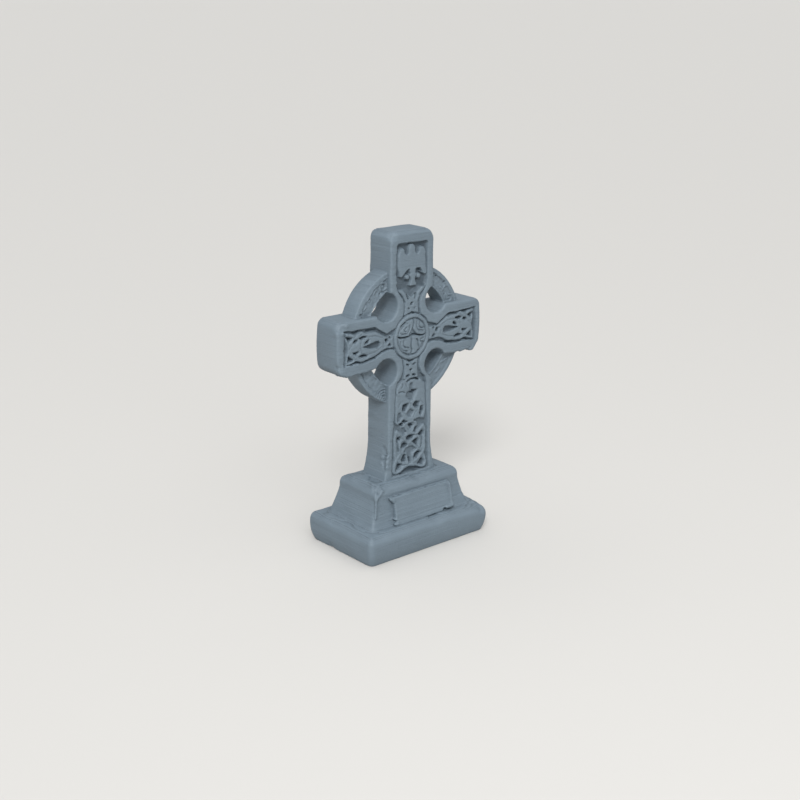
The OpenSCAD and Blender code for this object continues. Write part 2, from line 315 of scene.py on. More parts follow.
print(f"panel floors at {floor_level} mm, straps at {strap_level} mm, eyes down to {deepest_level} mm")

# %% Panel floors
limb_low = both_sides([(5.0, 14.9), (4.85, 20), (4.6, 25), (4.2, 30), (4.1, 33.3), (3.6, 34.7),
                       (2.7, 35.6), (2.15, 36.8), (2.15, 38), (2.6, 39.6)])
limb_high = both_sides([(2.5, 47.6), (2.1, 49.2), (2.1, 50.3), (2.4, 51.4), (3.1, 52.4), (3.8, 53.4),
                        (4.0, 54.6), (4.0, 62.1), (3.7, 62.5)])
arm_sunk = [(4.2, 45.9), (5.4, 45.6), (6.8, 45.1), (8.4, 46.0), (9.8, 46.95), (12, 46.9), (17.45, 47.25),
            (17.5, 40.1), (14.5, 40.45), (12.5, 40.2), (9.7, 40.6), (8, 41.45), (5.7, 41.8), (4.2, 41.4)]
left_panel_in = 0.3
relief = sink(relief, polygon(limb_low, Xw, Zw), floor_level, 0.1)
relief = sink(relief, polygon(limb_high, Xw, Zw), floor_level, 0.1)
relief = sink(relief, polygon(arm_sunk, right + left_panel_in * (Xw < 0), Zw), floor_level, 0.1)
print(f"{area(relief < -0.3):.0f} square mm of the face are sunk")

# %% [markdown]
# ## Knots of the shaft
# The lower knot is a plait of mirrored straps that loop at the foot and close under a second knot
# with two leaves. Straps that really pass under each other could be swept along curves, but this
# carving is worn to a soft lump with eyes in it. So the body of both knots comes out of the floor
# first, then each strap is a smooth line through a few points on the right half, with its mirror
# image. The eyes differ a little from side to side, so each has an outline of its own.

# %% Body of both knots and the leaves
knots = both_sides([(0, 16.05), (1.6, 16.0), (2.6, 15.5), (3.5, 15.15), (4.3, 15.15), (4.65, 15.7),
                    (4.55, 17.0), (4.0, 18.1), (4.35, 19.2), (4.45, 21), (4.3, 22.8), (3.9, 24.2),
                    (3.3, 24.4), (2.7, 23.9), (2.2, 23.5), (2.2, 24.6), (1.7, 25.5), (2.6, 25.9),
                    (3.6, 25.5), (4.0, 26.3), (4.1, 27.5), (4.05, 29.5), (3.9, 31.5), (3.7, 33.2),
                    (3.0, 34.4), (1.4, 34.9), (0, 35.0)])
upper_knot_foot, plait_level = 25.6, -0.26
knot_level = np.where(Zw > upper_knot_foot, strap_level, plait_level)
relief = lift(relief, polygon(knots, Xw, Zw), knot_level, 0.12)
leaf = [(0, 30.2), (1.4, 29.9), (2.9, 29.3), (3.7, 29.6), (3.85, 31.4), (3.65, 33.2), (2.9, 34.3),
        (1.4, 34.8), (0, 34.9)]
relief = lift(relief, polygon(leaf, right, Zw), strap_level, 0.25)
print(f"both knots cover {area(polygon(knots) < 0):.0f} square mm")

# %% Straps of the lower knot: line, width, and where the weave begins
plait = [([(0, 16.4), (1.5, 16.15), (2.7, 15.6), (3.7, 15.45), (4.15, 16.0), (4.05, 17.0), (3.45, 18.2),
           (2.45, 19.3), (1.2, 20.4), (0, 21.4), (-1.2, 22.2), (-2.3, 23.1), (-3.5, 24.1)], 0.8, 0),
         ([(1.1, 16.8), (2.0, 17.1), (3.1, 17.9), (3.8, 18.8), (4.0, 20.2), (4.0, 21.5), (3.95, 22.9),
           (3.6, 24.0)], 0.75, 1.5),
         ([(3.6, 23.9), (2.8, 23.2), (1.6, 22.9), (0, 23.1)], 0.7, 2.5),
         ([(0.7, 16.7), (0.8, 17.8), (1.1, 18.7), (1.9, 19.2), (2.6, 19.8), (2.8, 20.8), (2.5, 21.8),
           (1.8, 22.1), (0.9, 21.9), (0, 21.3)], 0.7, 3),
         ([(0, 23.3), (1.0, 23.9), (1.6, 24.9), (1.1, 25.6), (0, 25.7)], 0.75, 1)]
for line, width, phase in plait:
    relief = strap(relief, line, width, phase)
print(f"{len(plait)} straps, each with its mirror image")

# %% Eyes between the straps, each side with its own
deep_eyes = [[(-3.6, 15.95), (-3.1, 17.05), (-2.2, 16.85), (-2.4, 16.4)],
             [(-2.1, 17.5), (-1.5, 18.8), (-0.95, 18.5), (-1.15, 17.3)],
             [(1.25, 17.6), (1.45, 18.4), (2.1, 18.65), (2.85, 18.4), (2.0, 17.5)],
             [(2.3, 16.15), (3.4, 17.0), (3.75, 16.4), (3.5, 15.85)],
             [(-0.05, 16.9), (-0.15, 17.8), (0.25, 17.8), (0.25, 16.9)],
             [(-2.1, 20.5), (-1.9, 21.15), (-1.3, 21.4), (-0.7, 20.9), (-1.5, 20.5)],
             [(-3.35, 22.1), (-3.2, 22.75), (-2.5, 22.85), (-2.5, 22.35)],
             [(-0.8, 22.1), (-0.3, 22.7), (1.0, 22.55), (0.75, 22.2), (-0.1, 21.85)],
             [(1.0, 21.1), (1.95, 21.6), (2.2, 21.2), (2.1, 20.2)],
             [(2.5, 22.5), (3.1, 22.95), (3.75, 22.8), (3.55, 22.1), (3.15, 21.9)],
             [(-0.3, 25.1), (0.4, 25.15), (0.8, 24.7), (0.25, 24.2)],
             [(1.1, 23.5), (1.4, 24.05), (2.1, 24.15), (2.1, 23.7), (1.5, 23.25)],
             [(-2.05, 26.1), (-1.65, 26.25), (-0.8, 25.75), (-1.4, 25.65)],
             [(-2.35, 25.3), (-2.3, 25.75), (-1.75, 25.55), (-1.9, 25.1)],
             [(-2.0, 28.3), (-1.85, 29.45), (-0.55, 29.5), (-0.6, 29.1), (-1.3, 28.2)],
             [(0.8, 29.1), (1.3, 29.6), (2.35, 29.4), (2.2, 28.4), (1.5, 28.35)],
             [(2.6, 27.1), (2.9, 28.4), (3.4, 28.3), (3.4, 27.3), (2.9, 26.5)],
             [(0.2, 31.8), (0.6, 32.3), (1.6, 32.2), (1.1, 31.6)]]
floor_eyes = [[(-1.0, 20.1), (0.7, 20.1), (1.5, 19.5), (0.6, 18.8), (0.3, 17.7), (-0.25, 17.7),
               (-0.5, 19.1), (-1.3, 19.4)],
              [(-2.6, 24.4), (-1.6, 24.6), (-0.9, 23.6), (-1.5, 23.3)],
              [(1.2, 25.75), (2.2, 25.6), (3.4, 24.9), (4.2, 24.9), (3.4, 25.4), (2.2, 25.9)],
              [(-0.8, 27.5), (0.1, 28.25), (0.9, 27.7), (0.3, 26.85), (-0.5, 27.0)],
              [(-3.25, 26.4), (-3.3, 27.3), (-3.1, 28.0), (-2.6, 27.9), (-2.25, 27.0), (-2.7, 26.4)],
              [(-1.2, 31.4), (-0.9, 32.1), (0, 32.2), (1.4, 31.7), (0.7, 30.3), (-0.1, 30.3)],
              [(-0.15, 32.4), (-0.1, 33.7), (0.5, 33.7), (0.6, 32.4)]]
relief = cut_eyes(relief, floor_eyes, -0.68, Xw, Zw)
relief = cut_eyes(relief, deep_eyes, deepest_level, Xw, Zw)
print(f"{len(deep_eyes)} deep eyes and {len(floor_eyes)} shallow ones")

# %% Slits in the knots and leaves
for line, width, level in (([(-3.15, 21.9), (-3.15, 21.0), (-3.0, 19.9)], 0.26, slit_level),
                           ([(3.3, 21.9), (3.4, 20.9), (3.2, 19.6)], 0.24, slit_level),
                           ([(-1.0, 34.4), (0, 34.75), (0.9, 34.75), (2.0, 34.3)], 0.36, -1.0)):
    relief = slit(relief, line, width, level, as_drawn)
relief = slit(relief, [(3.4, 33.5), (2.9, 34.2), (2.1, 34.8)], 0.25, -0.5)
for line, width, level in (([(-3.9, 31.7), (-3.3, 32.35), (-2.3, 32.4), (-1.5, 32.1)], 0.26, -0.32),
                           ([(-2.6, 34.6), (-2.1, 33.8), (-2.4, 33.2)], 0.24, -0.28),
                           ([(-1.3, 34.0), (-1.1, 33.4)], 0.2, -0.25),
                           ([(-1.9, 27.9), (-1.3, 27.6), (-0.9, 26.6)], 0.14, -0.24),
                           ([(1.9, 27.8), (1.3, 27.4), (1.0, 26.6)], 0.14, -0.24),
                           ([(-0.1, 28.7), (0.2, 29.1), (-0.2, 29.9)], 0.14, -0.24),
                           ([(2.5, 30.1), (3.0, 29.5), (3.4, 29.0)], 0.14, -0.24),
                           ([(-2.6, 30.2), (-3.2, 29.3)], 0.14, -0.24)):
    relief = slit(relief, line, width, level, as_drawn)
under_knot = [(-3.3, 15.1), (-1.6, 15.8), (1.5, 15.8), (3.1, 15.1), (4.2, 14.95), (-4.2, 14.95)]
relief = sink(relief, polygon(under_knot, Xw, Zw), -0.95)
print(f"shaft panel carved, deepest {relief[:, zs < 35].min():.2f} mm")

# %% [markdown]
# ## Necks, arms and roundel
# Where the scoops pinch the panels the plait closes up until only short slits are left. The arms
# widen again to a knot with one long gap, and the roundel hides where the four meet. These are too
# small to weave from straps, so each is one lifted body with lines and eyes cut into it.

# %% Two necks
neck_low = both_sides([(1.9, 34.9), (1.75, 36), (1.7, 37.5), (1.95, 39.2)])
neck_high = both_sides([(1.95, 48), (1.7, 49.6), (1.75, 50.6), (2.3, 51.7), (1.4, 52.4), (0.2, 51.6)])
for neck in (neck_low, neck_high):
    relief = lift(relief, polygon(neck, Xw, Zw), -0.1, 0.12)
relief = strap(relief, [(1.1, 50.6), (1.7, 51.9), (2.6, 52.8), (3.3, 53.7)], 0.95, 1)
relief = slit(relief, [(0.55, 35.55), (1.1, 35.4)], 0.36)
relief = cut(relief, [(-0.3, 36.75), (0.3, 36.75), (0, 36.4)], as_drawn)
relief = slit(relief, [(0.6, 37.7), (1.1, 37.9)], 0.28)
relief = slit(relief, [(-0.75, 38.75), (0, 38.45), (0.75, 38.75)], 0.34, sides=as_drawn)
relief = slit(relief, [(-0.7, 48.2), (0, 48.45), (0.7, 48.2)], 0.34, sides=as_drawn)
relief = slit(relief, [(0.65, 49.2), (0.95, 49.4)], 0.24, -0.5)
relief = cut(relief, [(-0.35, 50.1), (0, 50.5), (0.35, 50.5), (0.1, 50.1)], as_drawn)
relief = cut(relief, [(0.75, 51.2), (0.95, 52.0), (1.45, 52.3), (1.15, 51.4)])
relief = slit(relief, [(1.75, 50.6), (2.3, 51.6), (2.9, 52.4)], 0.28, -0.6)
print(f"necks cover {area(polygon(neck_low) < 0) + area(polygon(neck_high) < 0):.0f} square mm")

# %% Knots of the arms, the left one the right one's mirror image, moved a little
left_knot_in, left_knot_down = 0.42, 0.2
arm_x = np.where(Xw < 0, left_knot_in - Xw, Xw)
arm_z = np.where(Xw < 0, Zw + left_knot_down, Zw)
knot = [(4.2, 44.6), (5.6, 44.8), (7.0, 44.75), (8.3, 45.5), (9.6, 46.2), (11.2, 46.3), (12.2, 46.25),
        (13.2, 46.75), (14.6, 46.3), (15.8, 46.8), (17.0, 46.9), (16.9, 45.2), (16.55, 43.6), (16.9, 42.1),
        (17.0, 40.4), (15.6, 40.75), (14.6, 41.1), (13.4, 40.7), (12.0, 40.85), (9.8, 41.2), (8.2, 42.0),
        (6.8, 42.3), (5.4, 42.2), (4.2, 42.1)]
relief = lift(relief, polygon(knot, arm_x, arm_z), strap_level, 0.16)
for line in ([(13.2, 46.3), (14.0, 45.5), (15.4, 44.6), (16.3, 43.7)],
             [(13.3, 41.3), (14.2, 42.1), (15.5, 43.0)],
             [(8.0, 44.7), (9.9, 45.35), (11.8, 45.3)], [(8.2, 42.8), (9.9, 42.1), (11.6, 41.9)],
             [(13.1, 44.9), (13.5, 43.6), (13.0, 42.3)], [(7.7, 44.5), (7.8, 42.7)],
             [(14.6, 46.1), (15.3, 45.5)], [(14.5, 41.4), (15.2, 42.0)]):
    gap, _ = to_line(line, arm_x, arm_z)
    relief = sink(relief, gap - 0.08, -0.22)
arm_eyes = [[(15.5, 45.75), (16.8, 46.05), (16.3, 45.15)],
            [(15.3, 41.5), (16.5, 41.1), (16.4, 42.2)],
            [(14.1, 45.1), (14.5, 44.75), (15.1, 44.9), (14.8, 45.2)],
            [(13.9, 42.8), (14.4, 42.4), (15.1, 42.6)],
            [(12.0, 45.5), (13.0, 45.25), (13.6, 45.45), (13.0, 45.65)],
            [(11.8, 41.7), (12.8, 41.65), (13.6, 41.85), (12.7, 42.05)],
            [(11.4, 44.75), (11.5, 44.35), (12.3, 44.1), (12.0, 44.5)],
            [(6.6, 43.75), (7.0, 43.6), (7.3, 44.15), (6.8, 44.2)],
            [(5.8, 44.35), (6.2, 44.35), (6.05, 44.6)],
            [(5.75, 42.7), (6.4, 42.75), (6.1, 43.15)]]
relief = cut_eyes(relief, arm_eyes, deepest_level, arm_x, arm_z)
print(f"{len(arm_eyes)} eyes in each arm")

# %% Gaps of the arms
long_eye = [(8.65, 43.1), (8.6, 43.7), (9.0, 44.2), (10.1, 44.1), (11.0, 43.9), (12.7, 43.5),
            (11.2, 43.1), (9.2, 42.85)]
relief = sink(relief, polygon(long_eye, arm_x, arm_z) - 0.05, slit_level)
end_gap = [(16.7, 43.6), (17.1, 44.7), (17.5, 45.8), (17.7, 43.7), (17.5, 41.5), (17.1, 42.5)]
relief = sink(relief, polygon(end_gap, arm_x, arm_z), slit_level)
for line in ([(9.4, 46.5), (10.4, 46.6), (11.8, 46.58)], [(13.7, 46.85), (14.5, 46.7), (15.2, 46.85)],
             [(9.6, 40.95), (11.0, 40.72), (12.0, 40.58)], [(13.3, 40.52), (14.5, 40.78), (15.6, 40.52)]):
    gap, _ = to_line(line, arm_x, arm_z)
    relief = sink(relief, gap - 0.12, -1.0)
print(f"the arms' panels go down to {relief[right > 8].min():.2f} mm")

# %% Middle roundel, its carving listed as line, width and level
round_x, round_z = Xw - 0.05, Zw - (middle - 0.15)
reach = np.hypot(round_x, round_z)
moat_radius, rim_radius, groove_radius = 4.9, 4.6, 3.7
relief = sink(relief, reach - moat_radius, -0.42, 0.12)
relief = lift(relief, reach - rim_radius, 0.1, 0.14)
relief = sink(relief, np.abs(reach - groove_radius) - 0.15, -0.28)
grooves = [([(-3.4, 43.85), (-2.6, 43.65), (-1.2, 43.65), (-0.2, 43.85), (1, 43.85), (2.2, 43.5), (3.1, 43.5),
             (3.65, 43.75)], 0.3, -0.8),
           ([(0.35, 47.0), (0.4, 46.2), (0.2, 45.4), (-0.2, 44.7), (-0.55, 44.1)], 0.28, -0.65),
           ([(-0.2, 43.6), (-0.12, 42.5), (-0.2, 41.5), (0, 40.8), (-0.2, 40.1)], 0.28, -0.65),
           ([(-1.1, 46.5), (-2.2, 46.0), (-3.0, 45.1), (-2.8, 44.5), (-1.5, 44.3)], 0.2, -0.16),
           ([(-0.7, 46.1), (-0.6, 45.2), (-1.1, 44.5)], 0.2, -0.16),
           ([(-1.5, 45.7), (-2.0, 45.1), (-1.6, 44.8)], 0.22, -0.2),
           ([(1.1, 46.5), (1.2, 45.4), (1.8, 44.6), (3.0, 44.4)], 0.2, -0.16),
           ([(1.9, 46.3), (1.9, 45.5), (2.4, 45.0), (3.2, 45.0)], 0.22, -0.22),
           ([(-3.0, 43.0), (-2.9, 41.8), (-2.2, 41.0), (-1.0, 40.7)], 0.2, -0.16),
           ([(-2.2, 43.0), (-2.2, 42.1), (-1.7, 41.6), (-0.8, 41.4)], 0.22, -0.2),
           ([(3.3, 42.0), (2.6, 41.5), (2.2, 40.8), (1.5, 40.4)], 0.3, -0.6),
           ([(1.2, 42.9), (1.6, 42.3), (1.6, 41.7), (1.9, 41.1)], 0.24, -0.42),
           ([(3.0, 42.9), (2.3, 42.7), (2.4, 42.2), (2.9, 42.2)], 0.22, -0.26),
           ([(-2.9, 46.0), (-2.2, 46.4), (-1.6, 46.6)], 0.32, -0.65)]
for line, width, level in grooves:
    relief = slit(relief, line, width, level, as_drawn)
crossing_pit = [(0.15, 45.3), (-0.35, 44.3), (0.3, 43.95), (1.1, 44.05), (0.6, 44.6)]
relief = sink(relief, polygon(crossing_pit, Xw, Zw), -0.45)
print(f"roundel rim stands {relief.max():.2f} mm above the border")

# %% [markdown]
# ## The bird
# A bird with spread wings fills the head: a plain broad body, a head between two round notches,
# feet at each side and a fanned tail. It could be sculpted, but the printed one is almost flat, so
# one outline is lifted from the floor and then dented.

# %% Bird
bird = both_sides([(0.95, 53.95), (0.5, 55.1), (0.6, 55.5), (0.95, 55.9), (0.6, 56.4), (0.8, 57.2),
                   (1.5, 57.0), (2.2, 56.3), (2.9, 55.8), (3.45, 55.9), (3.6, 57.5), (3.55, 60.2),
                   (3.1, 61.3), (2.4, 61.5), (1.95, 61.2), (1.85, 60.5), (1.35, 60.05), (0.85, 60.4),
                   (0.8, 61.4), (0.55, 62.0), (0, 62.2)])
bird_x = Xw - 0.25 * ramp(Zw, 58, 56)
far_outside = 5.0
bird_panel_foot, panel_inset = 53.4, 0.25
bird_panel = np.where(Zw < bird_panel_foot, far_outside, polygon(limb_high, Xw, Zw) + panel_inset)
relief = sink(relief, bird_panel, slit_level)
relief = lift(relief, polygon(bird, bird_x, Zw) - 0.04, -0.06, 0.13)
for side in (-1, 1):
    relief = lift(relief, disc(side * 1.45, 55.65, 0.5, bird_x, Zw), -0.05, 0.16)
    relief = sink(relief, disc(side * 1.45, 54.95, 0.3, bird_x, Zw), -1.0)
    relief = sink(relief, disc(side * 1.4, 60.6, 0.2, Xw, Zw), slit_level, 0.15)
for dent, level in (([(-1.6, 56.6), (-0.9, 57.3), (-0.5, 57.2), (-1.0, 56.5)], -1.0),
                    ([(1.2, 57.3), (2.0, 57.2), (2.6, 56.4), (1.9, 56.6)], -1.0),
                    ([(-1.1, 53.8), (0, 53.55), (1.1, 53.8), (0.7, 53.1), (0, 52.6), (-0.7, 53.1)],
                     slit_level)):
    relief = sink(relief, polygon(dent, Xw, Zw), level)
relief = relief + np.where(relief > -0.25, 0.018, 0.03) * unevenness(12, 0.5)
print(f"bird covers {area(polygon(bird) < 0):.0f} square mm")

# %% [markdown]
# ## Depth of the cross
# Both faces lean in very slightly, so the shaft is deeper at its foot than the head at its top. A
# flat shape with one thickness would miss that, so front and back each have a height map of their
# own. The back shows the same sunk panels without carving, as a plain reverse usually has.

# %% Front, back and the solid cross
depth_half = np.interp(zs, [plinth_top, 17, 22, middle, tall], [3.6, 3.42, 3.34, 3.36, 3.18])
depth_half = depth_half.astype(np.float32)
front_depth = depth_half[None, :] + relief
back_middle, back_line = 4.7, 3.6
plain_middle = -disc(0, middle, back_middle)
reverse = np.maximum(polygon(limb_low), plain_middle)
reverse = np.minimum(reverse, np.maximum(polygon(limb_high), plain_middle))
reverse = np.minimum(reverse, np.maximum(polygon(arm_sunk, np.abs(X), Z), plain_middle))
back_relief = sink(0.03 * unevenness(21, 1.6), reverse, -0.26, 0.16)
back_relief = sink(back_relief, np.abs(np.hypot(X, Z - middle) - back_line) - 0.16, -0.2, 0.14)
back_depth = depth_half[None, :] + back_relief - 0.02

deep = ys[None, :, None]
front_face = -deep - front_depth[:, None, :]
back_face = deep - back_depth[:, None, :]
cross = overlap(overlap(outline[:, None, :], front_face, 0.42), back_face, 0.22)
crown = tall - 0.015 * np.abs(xs[:, None, None]) ** 1.3 + 0.1 * wavy_row(23, 3.5, -60)
top_roll = overlap(zs[None, None, :] - crown, np.abs(deep) - depth_half[None, None, :] - 0.1, 1.3)
cross = np.maximum(cross, top_roll)
print(f"cross is {2 * depth_half[0]:.1f} mm deep at its foot and {2 * depth_half[-1]:.1f} mm at its top")

# %% [markdown]
# ## The ring
# The ring is thinner than the arms. Its front has a plain outer rim and, inside it, a worn band in
# which only a few arcs, ridges and pits can still be made out. A turned profile would be too even,
# so the ring is the space between two circles, and the wear is added to its distance.

# %% Face of the ring
ring_outer, ring_inner, ring_half = 14.4, 10.9, 2.15
band_outer, band_inner = 13.5, 11.2
radius = np.hypot(X, Z - middle)
turn = np.arctan2(Z - middle, X)
swell = 0.28 * np.exp(-((np.abs(turn - radians(140)) / 0.5) ** 2))
worn = ramp(unevenness(31, 2.0) + np.where(X < 0, 0.5, 0.1), 0, 0.5)
ragged = radius + 0.16 * worn * unevenness(34, 0.7)
ring_face = sink(np.zeros_like(X), np.maximum(ragged - band_outer, band_inner - ragged), -0.22, 0.1)
ring_face = ring_face + 0.14 * worn * ramp(np.abs(ragged - band_outer), 0.22, 0.05)
band = ramp(ragged, band_outer, band_outer - 0.2)
ring_face = ring_face + band * (0.1 * worn * unevenness(35, 0.55) + 0.05 * unevenness(36, 0.4))
print(f"band from {band_inner} to {band_outer} mm")

# %% Arcs as x, z, spacing and spread; ridges as line, width and height; pits as x and z
arcs = ((-6.1, 31.3, 0.56, 2.7), (-6.5, 54.3, 0.8, 1.5), (-9.9, 51.9, 0.7, 0.8), (11.2, 49.7, 0.7, 1.0))
for x, z, space, spread in arcs:
    rings = np.hypot(X - x, Z - z)
    ring_face = ring_face + 0.13 * np.cos(rings * 2 * np.pi / space) * ramp(rings, spread, spread - 0.5)
ridges = (([(9.0, 51.4), (9.8, 52.3), (10.3, 52.2)], 0.3, 0.22),
          ([(8.6, 52.2), (9.3, 51.7)], 0.3, 0.2),
          ([(10.1, 50.6), (10.6, 49.6)], 0.3, 0.25),
          ([(-8.9, 53.1), (-8.3, 53.9)], 0.3, 0.2),
          ([(-11.2, 50.4), (-10.7, 51.0)], 0.3, 0.2),
          ([(10.9, 37.0), (10.0, 36.6), (9.3, 36.4)], 0.35, 0.22),
          ([(8.9, 35.3), (7.6, 34.4)], 0.3, 0.2),
          ([(-11.9, 37.8), (-11.2, 36.6)], 0.35, -0.3))
for line, width, height in ridges:
    away, _ = to_line(line)
    ring_face = ring_face + height * ramp(away, width, 0)
for x, z in ((7.4, 54.7), (6.5, 54.3), (9.6, 53.2), (6.5, 55.2), (9.7, 50.6), (-12.2, 49.5), (-7.3, 53.0)):
    ring_face = sink(ring_face, disc(x, z, 0.2), -0.55)
print(f"{len(arcs)} sets of arcs and {len(ridges)} ridges")

# %% The solid ring, joined to the cross
outer_edge = radius - ring_outer - swell - wander
inner_edge = ring_inner - radius + 0.5 * wander + 0.1 * unevenness(37, 0.8)
hoop = overlap(outer_edge, inner_edge, 0.2)
ring = overlap(overlap(hoop[:, None, :], -deep - ring_half - ring_face[:, None, :], 0.28),
               deep - ring_half - 0.02 * unevenness(33, 1)[:, None, :], 0.3)
field = join(cross, ring, 0.3)
del cross, ring, front_face, back_face
print(f"ring from {ring_inner} to {ring_outer} mm, {2 * ring_half} mm deep")

# %% [markdown]
# ## Slab, plinth and tablet
# The two blocks are pillowed and slumped, as a stone modelled soft: sides draw in at the ground,
# upper edges roll over, the plinth flares out into the slab. Bevelled boxes would keep flat sides,
# so these are distances too. They only fill the lowest part of the grid, so they are worked out
# there alone.

# %% Slab
foot_top = 18.5
base_rows = int(np.searchsorted(zs, foot_top))
bz = zs[:base_rows][None, None, :]
bx = xs[:, None, None]
by = ys[None, :, None]
rumple = unevenness_3d(41, 2.2, zs[:base_rows])
fine_rumple = unevenness_3d(42, 0.7, zs[:base_rows])
slab_wide, slab_high = 16.1, 6.2
corner_sag = 0.75 * ramp(np.hypot(bx - slab_wide, by + slab_deep), 7, 0)
draw_in = 0.75 * np.clip(1 - bz / 3.4, 0, 1) ** 2


def block(reach_x, reach_y, top, roll, corner):
    """A pillowed block: upright corners of radius corner, upper edge rolled over by roll."""
    u = np.abs(bx) - reach_x
    v = np.abs(by) - reach_y
    sides = overlap(u, v, corner)
    return overlap(sides, bz - top, roll)


uneven_top = 0.1 * wavy_row(43, 3.0, 5) + 0.13 * unevenness_3d(44, 3.2, zs[:1])
slab = block(slab_wide - draw_in, slab_deep - 0.03 - draw_in, slab_high - corner_sag + uneven_top,
             roll=1.9, corner=1.15)
slab = slab + 0.05 * rumple
print(f"slab {2 * slab_wide:.1f} mm wide and {slab_high:.1f} mm high")

# %% Plinth
plinth_wide, plinth_deep = 11.25, 5.95
rise = np.clip((bz - slab_high + 1) / 6.9, 0, 1)
flare = 1.6 * (1 - rise) ** 1.4
end_flare = 2.2 * (1 - rise) ** 1.2
ledge = 0.22 * ramp(bx, 8.4, 8.7) * ramp(by, -3, -5) * ramp(bz, 8.25, 8.05)
dome = 0.25 * np.clip(1 - np.hypot(bx / 9, by / 5), 0, 1)
plinth = block(plinth_wide + end_flare * np.where(bx > 0, 0.8, 1) + 0.1 * (bx < 0),
               plinth_deep + flare + ledge, plinth_top - 0.2 + dome + uneven_top, roll=1.9, corner=0.55)
plinth = plinth + 0.05 * rumple
print(f"plinth {2 * plinth_wide:.1f} mm wide at its top, {plinth_top:.1f} mm up")

# %% Tablet, leaning out at its foot, with torn and curled ends
tablet_top, tablet_thick = 12.0, 1.6
lean = (tablet_top - bz) / 5.3
tablet_out = 6.7 + 1.4 * lean
tablet_shape = [(-8.1, 12.0), (-8.0, 11.55), (-7.65, 11.35), (-7.55, 10.95), (-7.25, 10.75), (-7.3, 9.0),
                (-7.4, 8.0), (-7.75, 7.6), (-7.3, 7.2), (-7.95, 6.7), (-7.5, 6.3), (5.0, 6.35),
                (5.3, 6.8), (5.9, 6.9), (6.2, 6.6), (7.8, 6.6), (8.1, 7.0), (8.0, 12.0)]
tablet_flat = polygon(tablet_shape)[:, :base_rows][:, None, :]
frame_line = ramp(np.abs(tablet_flat + 0.3), 0.16, 0.02)
tablet = overlap(tablet_flat, -by - tablet_out - 0.05 * frame_line, 0.16)
tablet = np.maximum(tablet, by + tablet_out - tablet_thick)


def roll_between(start, end, thick):
    """A small round roll between two points."""
    ax, ay, az = start
    ex, ey, ez = (e - s for s, e in zip(start, end))
    t = np.clip(((bx - ax) * ex + (by - ay) * ey + (bz - az) * ez) / (ex ** 2 + ey ** 2 + ez ** 2), 0, 1)
    return np.sqrt((bx - ax - ex * t) ** 2 + (by - ay - ey * t) ** 2 + (bz - az - ez * t) ** 2) - thick


for start, end, thick in (((-7.9, -6.6, 11.7), (-7.35, -6.8, 11.2), 0.28),
                          ((-7.8, -7.9, 6.75), (-7.3, -8.05, 6.65), 0.32),
                          ((6.3, -7.95, 6.95), (7.8, -7.95, 7.05), 0.42),
                          ((7.75, -7.0, 11.4), (7.8, -7.85, 7.3), 0.28)):
    tablet = join(tablet, roll_between(start, end, thick), 0.15)
print(f"tablet face covers {area(polygon(tablet_shape) < 0):.0f} square mm")

# %% Wrinkles at the plinth's near corner, and one at the slab's right end
wrinkles = (((-11.2, -5.95, 12.2), (-10.6, -4.2, 13.85), 0.3),
            ((-11.2, -5.95, 12.2), (-9.4, -5.6, 13.6), 0.32),
            ((-10.3, -4.9, 14.0), (-9.3, -4.6, 14.25), 0.24),
            ((-10.4, -4.0, 14.0), (-9.9, -3.1, 14.2), 0.24),
            ((-11.25, -6.0, 12.2), (-11.9, -6.6, 8.6), 0.22),
            ((13.8, -8.7, 4.9), (14.9, -7.4, 5.1), 0.35))
for start, end, thick in wrinkles:
    plinth = join(plinth, roll_between(start, end, thick), 0.25)
plinth = plinth + 0.35 * np.exp(-((bx + 10.5) ** 2 + (by + 5.2) ** 2 + (bz - 13.3) ** 2) / 0.5)
print(f"{len(wrinkles)} wrinkles and one dimple")

# %% All of the foot together
base = join(slab, plinth, 0.7)
base = join(base, tablet, 0.12) + 0.018 * fine_rumple
base = overlap(base, -bz, 0.12)
lower = field[:, :, :base_rows]
foot_only = np.where(bz < plinth_top - 1.5, far_outside, lower)
field[:, :, :base_rows] = join(foot_only, base, 0.3)
print(f"foot worked out over {base_rows} rows of the grid")

# %% [markdown]
# ## Scars
# A print is never clean: a gouge beside the near edge of the shaft, dents at the corners of the
# arms and head, rough undersides, a nick on the plinth, a bitten spot on the slab's edge. They
# could be drawn with bump, but several break the silhouette, so each is a soft ball that takes
# away or adds a few tenths of a millimetre.

# %% Chips and dimples: x, y, z, size, and how far in


def dab(x, y, z, size, amount):
    """Moves the surface in by amount near one point, or out where amount is below zero."""
    reach_cells = (3 * size / step).astype(int) + 1
    at = ((np.array([x, y, z]) - grid_low) / step).astype(int)
    a = np.maximum(at - reach_cells, 0)
    b = np.minimum(at + reach_cells + 1, counts)
    px, py, pz = xs[a[0]:b[0], None, None], ys[None, a[1]:b[1], None], zs[None, None, a[2]:b[2]]
    away = (px - x) ** 2 + (py - y) ** 2 + (pz - z) ** 2
    field[a[0]:b[0], a[1]:b[1], a[2]:b[2]] += amount * np.exp(-away / (2 * size ** 2))


